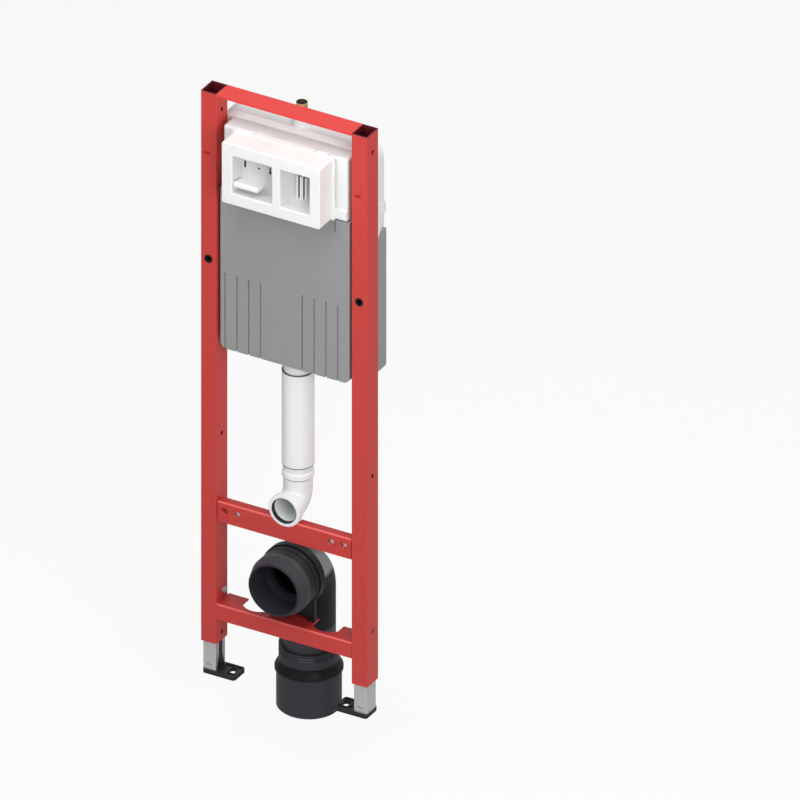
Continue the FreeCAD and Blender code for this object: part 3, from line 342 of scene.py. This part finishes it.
# The left outer nut keeps red in its bore; round the bore it has the pale pink painted light of the others.
coated_nut = Finish("zinc_plated_nut_with_coated_bore", roughness=0.5, specular_ior_level=0.1)
in_nut_bore = from_axis(coated_nut, FIXINGS[0]).under(NUT_BORE_RADIUS)
coated_nut.colour(coated_nut.blend(in_nut_bore, NUT_ZINC_WITH_PAINTED_LIGHT, COAT_RED))
dress(FIXINGS[:1], coated_nut)

# These nuts are painted dark red at the front as painted shade, and pale pink behind as painted light in the
# holes.
nut = Finish("zinc_plated_nut", roughness=0.4)
nut_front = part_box(FIXINGS[0])[0].y
nut.colour(nut.blend(nut.along("Y").over(nut_front + NUT_SHADE_DEPTH, blur=0.003), NUT_PAINTED_SHADE, NUT_ZINC_WITH_PAINTED_LIGHT))
dress(FIXINGS[1:], nut)

inner_foot = COLLAR_INSIDE - COLLAR_CROWN
outer_foot = COLLAR_OUTSIDE - COLLAR_CROWN
collar_outline = [(inner_foot, COLLAR_SINK), (inner_foot, -COLLAR_RISE * 0.3),
                  (-CROWN_INWARD, -COLLAR_RISE * 0.9), (0, -COLLAR_RISE), (CROWN_OUTWARD, -COLLAR_RISE * 0.9),
                  (outer_foot - COLLAR_TAPER, -COLLAR_RISE * 0.45), (outer_foot, COLLAR_SINK)]
centres =[(low + high) / 2 for low, high in map(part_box, FIXINGS)]
collar_sizes = {
    "Steps": COLLAR_STEPS,
    "Crown Radius": COLLAR_CROWN,
    "Outer Spacing": centres[3].x - centres[0].x,
    "Inner Spacing": centres[2].x - centres[1].x,
    "Middle": Vector(((centres[0].x + centres[3].x) / 2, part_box("middle_rail")[0].y, centres[0].z)),
}
collars = press_collars("fixing_collars", collar_outline, collar_sizes, middle_coat)
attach(collars, "frame")

# The lower rail: a deep folded steel angle with a short lip, notched on both sides of the drain.
# It is cut and folded from sheet, welded between the uprights and coated with them.
# Its fold and flange carry the same painted highlight and painted shade as the middle rail's.
dress(["lower_rail"], rail_coat("lower_rail"))

# The wall sleeves: black moulded plastic bushes with a thin rim.
# They are pushed into the holes of the uprights where the frame is bolted to the wall.
SLEEVE_BLACK = (0.007, 0.007, 0.008, 1)
SLEEVE_BLACK_WORN = (0.012, 0.012, 0.013, 1)
BLACK_CLOUD_SIZE = 0.015
GRAIN_SIZE = 0.0008
GRAIN_DEPTH = 0.00004


def black_moulding(name, dark, worn):
    """Black moulding with a fine grain."""
    finish = Finish(name, ior=1.5, specular_ior_level=0.2)
    grain = finish.noise(GRAIN_SIZE, detail=1)
    finish.colour(finish.blend(finish.noise(BLACK_CLOUD_SIZE), dark, worn))
    finish.rough(grain.within(0.42, 0.57))
    finish.relief(grain, GRAIN_DEPTH)
    return finish


black = black_moulding("black_moulding", SLEEVE_BLACK, SLEEVE_BLACK_WORN)
dress(["left_wall_sleeve", "right_wall_sleeve"], black)

# The legs and feet: C profiles rolled from galvanised sheet, with its crystals and fine drawing marks.
# They slide in the uprights, where a screw holds each one, and stand on plates moulded from black plastic.
ZINC = (0.54, 0.54, 0.535, 1)
ZINC_DARK = (0.46, 0.465, 0.465, 1)
FOOT_BLACK = (0.016, 0.016, 0.018, 1)
FOOT_BLACK_WORN = (0.024, 0.024, 0.026, 1)
SPANGLE_SIZE = 0.006
STREAK_SIZE = 0.004
STREAK_DEPTH = 0.00003

zinc = Finish("galvanised_steel", metallic=0.75)
spangle = zinc.cells(SPANGLE_SIZE, output="Color")
streak = zinc.noise(STREAK_SIZE, stretch=(4, 4, 0.3))
zinc.colour(zinc.blend(spangle * 0.5 + streak * 0.5, ZINC, ZINC_DARK))
zinc.rough(spangle.within(0.38, 0.50))
zinc.relief(streak, STREAK_DEPTH)
dress(["left_leg", "right_leg", "left_leg_screw", "right_leg_screw"], zinc)
dress(["left_foot_plate", "right_foot_plate"], black_moulding("foot_moulding", FOOT_BLACK, FOOT_BLACK_WORN))

# The insulation: two half shells of grey foam round the cistern, which stop it from sweating.
# They are moulded from beads fused by steam, so round beads show on them. The front one has upright grooves
# in its lower half, which are painted paler inside as painted light against their shade.
FOAM_GREY = (0.280, 0.290, 0.287, 1)
FOAM_GREY_PALE = (0.320, 0.330, 0.326, 1)
FOAM_GROOVE_PAINTED_LIGHT = (0.47, 0.48, 0.475, 1)
FOAM_CLOUD_SIZE = 0.05
BEAD_SIZE = 0.0035
BEAD_DEPTH = 0.00015
GROOVE_SKIN = 0.001
GROOVE_DEPTH = 0.0045
GROOVE_SIDE = 0.004
GROOVE_FOOT = 0.002
GROOVE_HEIGHT = 0.146

foam = Finish("moulded_foam", roughness=0.9, specular_ior_level=0.25)
bead = foam.cells(BEAD_SIZE)
foam_grey = foam.blend(foam.noise(FOAM_CLOUD_SIZE) * 0.5 + bead * 0.4, FOAM_GREY_PALE, FOAM_GREY)
foam_low, foam_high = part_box("insulation_front")
# The grooves are painted paler as painted light.
groove = (foam.along("Y").between(foam_low.y + GROOVE_SKIN, foam_low.y + GROOVE_DEPTH)
          * foam.along("X").between(foam_low.x + GROOVE_SIDE, foam_high.x - GROOVE_SIDE)
          * foam.along("Z").between(foam_low.z + GROOVE_FOOT, foam_low.z + GROOVE_HEIGHT))
foam.colour(foam.blend(groove, foam_grey, FOAM_GROOVE_PAINTED_LIGHT))
foam.relief(1 - bead, BEAD_DEPTH, strength=0.6)
dress(["insulation_front", "insulation_rear"], foam)

# The cistern: a white polyethylene tank, blow moulded in one piece, which stands in the foam shells.
# Its wall is a little uneven, so its white varies and its faces swell.
TANK_WHITE = (0.77, 0.81, 0.81, 1)
TANK_WHITE_WARM = (0.80, 0.835, 0.83, 1)
TANK_GRAIN_SIZE = 0.004
SWELL_SIZE = 0.03
SWELL_DEPTH = 0.0006

tank = Finish("blow_moulded_white")
swell = tank.noise(SWELL_SIZE)
tank.colour(tank.blend(swell, TANK_WHITE, TANK_WHITE_WARM))
tank.rough(tank.noise(TANK_GRAIN_SIZE).within(0.40, 0.52))
tank.relief(swell, SWELL_DEPTH, strength=0.5)
dress(["cistern_tank"], tank)

# The service box: a white injection moulded box, held by its flange on the cistern's front.
# The left one of its two deep windows has the valve's lever and the right one has two push rods. The walls
# inside the windows are painted greyer than the front, and the ports in their backs and the rods' slots are
# painted dark, all as painted shade.
BOX_WHITE = (0.84, 0.84, 0.83, 1)
BOX_WHITE_COOL = (0.87, 0.87, 0.87, 1)
BOX_SHADE = (0.69, 0.69, 0.685, 1)
PORT_PAINTED_SHADE = (0.055, 0.055, 0.055, 1)
SLOT_PAINTED_SHADE = (0.20, 0.20, 0.20, 1)
BOX_CLOUD_SIZE = 0.04
FINE_GRAIN_SIZE = 0.0012
FINE_GRAIN_DEPTH = 0.00002
WINDOW_INSET = 0.018
WINDOW_LIP = 0.004
PORT_DEPTH = 0.0286
ROD_EDGE = 0.00216
ROD_LIP = 0.0012


def white_moulding(name):
    """White moulding: a finish and the colour that it shows in the open."""
    finish = Finish(name)
    fine = finish.noise(FINE_GRAIN_SIZE, detail=1)
    finish.rough(fine.within(0.36, 0.46))
    finish.relief(fine, FINE_GRAIN_DEPTH)
    return finish, finish.blend(finish.noise(BOX_CLOUD_SIZE), BOX_WHITE, BOX_WHITE_COOL)


gloss, gloss_white = white_moulding("white_moulding")
gloss.colour(gloss_white)
dress(["box_flange", "valve_lever"], gloss)

box_low, box_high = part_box("service_box")
shell, shell_white = white_moulding("white_moulding_with_ports")
# Painted shade: the walls inside the windows are greyer, and the ports in their backs are dark.
in_windows = (shell.along("X").between(box_low.x + WINDOW_INSET, box_high.x - WINDOW_INSET)
              * shell.along("Z").between(box_low.z + WINDOW_INSET, box_high.z - WINDOW_INSET))
port = shell.along("Y").over(box_low.y + PORT_DEPTH, blur=0.0008) * in_windows
shade = shell.along("Y").over(box_low.y + WINDOW_LIP, blur=0.003) * in_windows
shell.colour(shell.blend(port, shell.blend(shade, shell_white, BOX_SHADE), PORT_PAINTED_SHADE))
dress(["service_box"], shell)

for name in ("left_push_rod", "right_push_rod"):
    rod_low, rod_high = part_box(name)
    rod, rod_white = white_moulding("white_moulding_of_" + name)
    # Each rod's slot is painted dark as painted shade.
    slot = (rod.along("X").between(rod_low.x + ROD_EDGE, rod_high.x - ROD_EDGE)
            * rod.along("Y").over(rod_low.y + ROD_LIP, blur=0.0006))
    rod.colour(rod.blend(slot, rod_white, SLOT_PAINTED_SHADE))
    dress([name], rod)

# The water stub: a tail turned from brass bar, with fine rings from the tool, that is fixed in the tank's
# top. A black cap is sunk in its bore and keeps dirt out until it is connected. The mouth of the bore round
# the cap is painted black and duller, as painted shade.
BRASS = (0.72, 0.53, 0.25, 1)
BRASS_DULL = (0.55, 0.40, 0.18, 1)
TURNING_SIZE = 0.0006
MOUTH_SHADE_DEPTH = 0.0012
MOUTH_SHADE_RADIUS = 0.0092
MOUTH_SHADE_DULLNESS = 0.4

brass = Finish("turned_brass", metallic=1.0)
turning = brass.noise(TURNING_SIZE, stretch=(0.2, 0.2, 3))
stub_low, stub_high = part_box("water_stub")
stub_across = brass.along("X") - (stub_low.x + stub_high.x) / 2
stub_back = brass.along("Y") - (stub_low.y + stub_high.y) / 2
stub_radius = (stub_across * stub_across + stub_back * stub_back) ** 0.5
# Painted shade: the mouth of the bore is painted black.
painted_shade_at_mouth = brass.along("Z").over(stub_high.z - MOUTH_SHADE_DEPTH) * stub_radius.under(MOUTH_SHADE_RADIUS)
brass.colour(brass.blend(painted_shade_at_mouth, brass.blend(turning, BRASS, BRASS_DULL), SLEEVE_BLACK))
brass.rough(turning.within(0.22, 0.42) + painted_shade_at_mouth * MOUTH_SHADE_DULLNESS)
dress(["water_stub"], brass)
dress(["stub_cap"], black)

# The flush pipe: an extruded white polyethylene pipe in a wider sleeve, joined to an elbow whose socket
# takes the toilet's spigot. A black rubber ring in the socket seals it, and dark lines of painted shade show
# where the pipe, the sleeve and the elbow meet.
PIPE_WHITE = (0.90, 0.905, 0.905, 1)
PIPE_WHITE_SOFT = (0.87, 0.88, 0.885, 1)
PIPE_JOINT_SHADE = (0.13, 0.13, 0.13, 1)
RUBBER = (0.012, 0.012, 0.012, 1)
RUBBER_PALE = (0.025, 0.025, 0.025, 1)
PIPE_CLOUD_SIZE = 0.03
RUBBER_CLOUD_SIZE = 0.004
EXTRUDED_LINE_SIZE = 0.003
EXTRUDED_LINE_DEPTH = 0.00005
JOINT_LINE = 0.0016
JOINT_OVERLAP = 0.0003
SLEEVE_END_RISE = 0.012
BEAD_TOP_DROP = 0.011
SLEEVE_TOP_DROP = 0.027

pipe = Finish("white_polyethylene")
extruded = pipe.noise(EXTRUDED_LINE_SIZE, stretch=(1, 1, 0.08))
pipe_white = pipe.blend(pipe.noise(PIPE_CLOUD_SIZE), PIPE_WHITE, PIPE_WHITE_SOFT)
bead_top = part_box("flush_elbow")[1].z
bead_end = bead_top - BEAD_TOP_DROP
sleeve_end = bead_top + SLEEVE_END_RISE
sleeve_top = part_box("flush_pipe")[1].z - SLEEVE_TOP_DROP
pipe_rise = pipe.along("Z")
# Painted shade: dark lines where the pipe, the sleeve and the elbow meet.
joint_shade = (pipe_rise.between(bead_end - JOINT_LINE, bead_end)
         + pipe_rise.between(sleeve_end - JOINT_OVERLAP, sleeve_end + JOINT_LINE)
         + pipe_rise.between(sleeve_top - JOINT_LINE, sleeve_top + JOINT_OVERLAP))
pipe.colour(pipe.blend(joint_shade, pipe_white, PIPE_JOINT_SHADE))
pipe.rough(extruded.within(0.34, 0.46))
pipe.relief(extruded, EXTRUDED_LINE_DEPTH)
dress(["flush_pipe", "flush_elbow", "flush_socket"], pipe)

rubber = Finish("black_rubber", roughness=0.7)
rubber.colour(rubber.blend(rubber.noise(RUBBER_CLOUD_SIZE), RUBBER, RUBBER_PALE))
dress(["flush_seal"], rubber)

# The drain: moulded polyethylene pieces that are pushed into each other, a socket, collar and bend in black
# and an adapter in charcoal. A black clamp on the lower rail cradles the collar.
# The socket's coned mouth is painted greyer outside and in, and the bend's way behind it and its low tail
# paler, all as painted light. The bend's crown carries a painted highlight.
DRAIN_BLACK = (0.010, 0.010, 0.012, 1)
DRAIN_BLACK_PALE = (0.016, 0.016, 0.018, 1)
CONE_PAINTED_LIGHT = (0.054, 0.054, 0.060, 1)
MOUTH_PAINTED_LIGHT = (0.030, 0.031, 0.040, 1)
WAY_PAINTED_LIGHT = (0.060, 0.066, 0.084, 1)
CROWN_PAINTED_HIGHLIGHT = (0.30, 0.30, 0.30, 1)
TAIL_PAINTED_LIGHT = (0.070, 0.070, 0.080, 1)
SCUFF_SIZE = 0.01
DRAIN_GRAIN_SIZE = 0.002
DRAIN_GRAIN_DEPTH = 0.00003
CONE_DEPTH = 0.030
MOUTH_RADIUS = 0.0487
WAY_RADIUS = 0.0435
WAY_DEPTH = 0.024
CROWN_DROP = 0.052
CROWN_BACK = 0.028
CROWN_SIDE = 0.022
TAIL_RISE = 0.072
ADAPTER_GLINT = (0.13, 0.13, 0.14, 1)
ADAPTER_CHARCOAL = (0.036, 0.037, 0.045, 1)
ADAPTER_CHARCOAL_PALE = (0.043, 0.044, 0.052, 1)
ADAPTER_SHADE = (0.005, 0.005, 0.006, 1)
SHADE_DROPS = (0.0455, 0.027)
GLINT_DROPS = (0.0068, 0.0118)
GLINT_HEIGHT = 0.0014
GLINT_SHIFT = 0.019
GLINT_LENGTH = 0.024


def drain_moulding(name, dark, pale):
    """Dark polyethylene: a finish and the colour that it shows in the open."""
    finish = Finish(name, specular_ior_level=0.12)
    scuff = finish.noise(SCUFF_SIZE, detail=4)
    finish.rough(scuff.within(0.40, 0.56))
    finish.relief(finish.noise(DRAIN_GRAIN_SIZE), DRAIN_GRAIN_DEPTH)
    return finish, finish.blend(scuff, dark, pale)


collar, collar_black = drain_moulding("black_polyethylene", DRAIN_BLACK, DRAIN_BLACK_PALE)
collar.colour(collar_black)
dress(["drain_collar"], collar)

socket, socket_black = drain_moulding("black_polyethylene_of_socket", DRAIN_BLACK, DRAIN_BLACK_PALE)
# The cone and the mouth are painted greyer as painted light.
on_cone = socket.along("Y").under(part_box("drain_socket")[0].y + CONE_DEPTH, blur=0.004)
in_mouth = from_axis(socket, "drain_socket").under(MOUTH_RADIUS, blur=0.001)
socket.colour(socket.blend(in_mouth, socket.blend(on_cone, socket_black, CONE_PAINTED_LIGHT), MOUTH_PAINTED_LIGHT))
dress(["drain_socket"], socket)

bend, bend_black = drain_moulding("black_polyethylene_of_bend", DRAIN_BLACK, DRAIN_BLACK_PALE)
bend_low, bend_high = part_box("drain_bend")
bend_back = bend.along("Y")
bend_rise = bend.along("Z")
# The bend's way seen through the socket is painted paler and bluer as painted light.
in_way = (from_axis(bend, "drain_socket").under(WAY_RADIUS, blur=0.001)
          * bend_back.under(bend_low.y + WAY_DEPTH, blur=0.001))
# A painted highlight on the bend's crown.
crown = (bend_rise.over(bend_high.z - CROWN_DROP, blur=0.012)
         * bend_back.over(bend_low.y + CROWN_BACK, blur=0.004)
         * bend.along("X").over(bend_high.x - CROWN_SIDE, blur=0.030))
# The low tail is painted paler as painted light, where the lower rail shades it.
tail = bend_rise.under(bend_low.z + TAIL_RISE, blur=0.004)
outside = bend.blend(tail, bend.blend(crown, bend_black, CROWN_PAINTED_HIGHLIGHT), TAIL_PAINTED_LIGHT)
bend.colour(bend.blend(in_way, outside, WAY_PAINTED_LIGHT))
dress(["drain_bend"], bend)

adapter, adapter_charcoal = drain_moulding("charcoal_polyethylene", ADAPTER_CHARCOAL, ADAPTER_CHARCOAL_PALE)
adapter_low, adapter_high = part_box("drain_adapter")
adapter_rise = adapter.along("Z")
# Painted shade darkens a band under the socket's ring, and two short painted highlights lie on its groove
# lips.
shaded = adapter_rise.between(adapter_high.z - SHADE_DROPS[0], adapter_high.z - SHADE_DROPS[1], blur=0.003)
glint_middle = (adapter_low.x + adapter_high.x) / 2 + GLINT_SHIFT
glint_levels = [adapter_high.z - drop for drop in GLINT_DROPS]
glint = (sum(adapter_rise.between(level, level + GLINT_HEIGHT) for level in glint_levels)
         * adapter.along("X").between(glint_middle - GLINT_LENGTH / 2, glint_middle + GLINT_LENGTH / 2,
                                      blur=0.008))
adapter.colour(adapter.blend(glint, adapter.blend(shaded, adapter_charcoal, ADAPTER_SHADE), ADAPTER_GLINT))
dress(["drain_adapter"], adapter)
dress(["drain_clamp"], black)

# The studio: a wide pale floor under the lowest reach of the feet, white air all round, four soft lamps, and
# a parallel camera that looks from 30 degrees to the right and 30 degrees above.
WHITE = (1, 1, 1, 1)
FLOOR_PALE = (0.9, 0.9, 0.9, 1)
FLOOR_GLOW = 0.9
FLOOR_HEIGHT = -0.15
FLOOR_SIZE = 40
AIR_LIGHT = 0.27
PIXELS = 800
PIXELS_PER_METRE = 600
VIEW_TURN = math.radians(30)
VIEW_DROP = math.radians(30)
ORIGIN_PIXEL = (223.86, 671.85)
CAMERA_DISTANCE = 4
LAMPS = {
    "key": {"place": (-0.5, -1.7, 2.2), "aim": (0.13, 0, 0.7), "size": 1.0, "power": 12},
    "top": {"place": (0.3, -0.5, 2.3), "aim": (0.13, 0, 0.6), "size": 1.0, "power": 13},
    "right": {"place": (1.55, -1.15, 1.4), "aim": (0.13, 0, 0.65), "size": 0.9, "power": 19},
    "rear": {"place": (0.7, 1.9, 1.8), "aim": (0.13, 0, 0.5), "size": 0.4, "power": 8},
}

floor_mesh = bmesh.new()
bmesh.ops.create_grid(floor_mesh, x_segments=1, y_segments=1, size=FLOOR_SIZE / 2)
bmesh.ops.translate(floor_mesh, verts=floor_mesh.verts, vec=(0, 0, FLOOR_HEIGHT))
floor = bpy.data.objects.new("floor", bpy.data.meshes.new("floor"))
floor_mesh.to_mesh(floor.data)
floor_mesh.free()
bpy.context.scene.collection.objects.link(floor)

ground = Finish("pale_floor", roughness=0.9, base_color=FLOOR_PALE)
seen = ground.node("ShaderNodeLightPath", output="Is Camera Ray")
glow = ground.node("ShaderNodeEmission", inputs={"Color": WHITE, "Strength": 1.0})
ground_skin = Wire(ground, ground.skin.outputs["BSDF"])
glowing = ground.node("ShaderNodeMixShader", inputs={0: seen * FLOOR_GLOW, 1: ground_skin, 2: glow})
ground.feed(ground.tree.nodes["Material Output"].inputs["Surface"], glowing)
floor.data.materials.append(ground.material)

world = bpy.data.worlds.new("studio")
bpy.context.scene.world = world
world.use_nodes = True
air = Works(world.node_tree)
background = air.tree.nodes["Background"]
air.feed(background.inputs["Color"], WHITE)
air.feed(background.inputs["Strength"], AIR_LIGHT)
lit = Wire(air, background.outputs[0])
bright = air.node("ShaderNodeBackground", inputs={"Color": WHITE, "Strength": 1.0})
shown = air.node("ShaderNodeLightPath", output="Is Camera Ray")
for ray in ("Is Glossy Ray", "Is Transmission Ray"):
    shown = shown.most(air.node("ShaderNodeLightPath", output=ray))
chosen = air.node("ShaderNodeMixShader", inputs={0: shown, 1: lit, 2: bright})
air.feed(air.tree.nodes["World Output"].inputs["Surface"], chosen)

for name, lamp in LAMPS.items():
    light = bpy.data.objects.new(name, bpy.data.lights.new(name, "AREA"))
    light.data.size = lamp["size"]
    light.data.energy = lamp["power"]
    light.location = lamp["place"]
    light.rotation_euler = (Vector(lamp["aim"]) - light.location).to_track_quat("-Z", "Y").to_euler()
    bpy.context.scene.collection.objects.link(light)

right = Vector((math.cos(VIEW_TURN), math.sin(VIEW_TURN), 0))
back = Vector((math.sin(VIEW_TURN) * math.cos(VIEW_DROP), -math.cos(VIEW_TURN) * math.cos(VIEW_DROP),
               math.sin(VIEW_DROP)))
up = back.cross(right)
camera = bpy.data.objects.new("camera", bpy.data.cameras.new("camera"))
camera.data.type = "ORTHO"
camera.data.ortho_scale = PIXELS / PIXELS_PER_METRE
camera.data.clip_end = 20
camera.location = (right * (PIXELS / 2 - ORIGIN_PIXEL[0]) / PIXELS_PER_METRE
                   + up * (ORIGIN_PIXEL[1] - PIXELS / 2) / PIXELS_PER_METRE + back * CAMERA_DISTANCE)
camera.rotation_euler = (-back).to_track_quat("-Z", "Y").to_euler()
bpy.context.scene.collection.objects.link(camera)
bpy.context.scene.camera = camera
bpy.context.scene.view_settings.view_transform = "Standard"
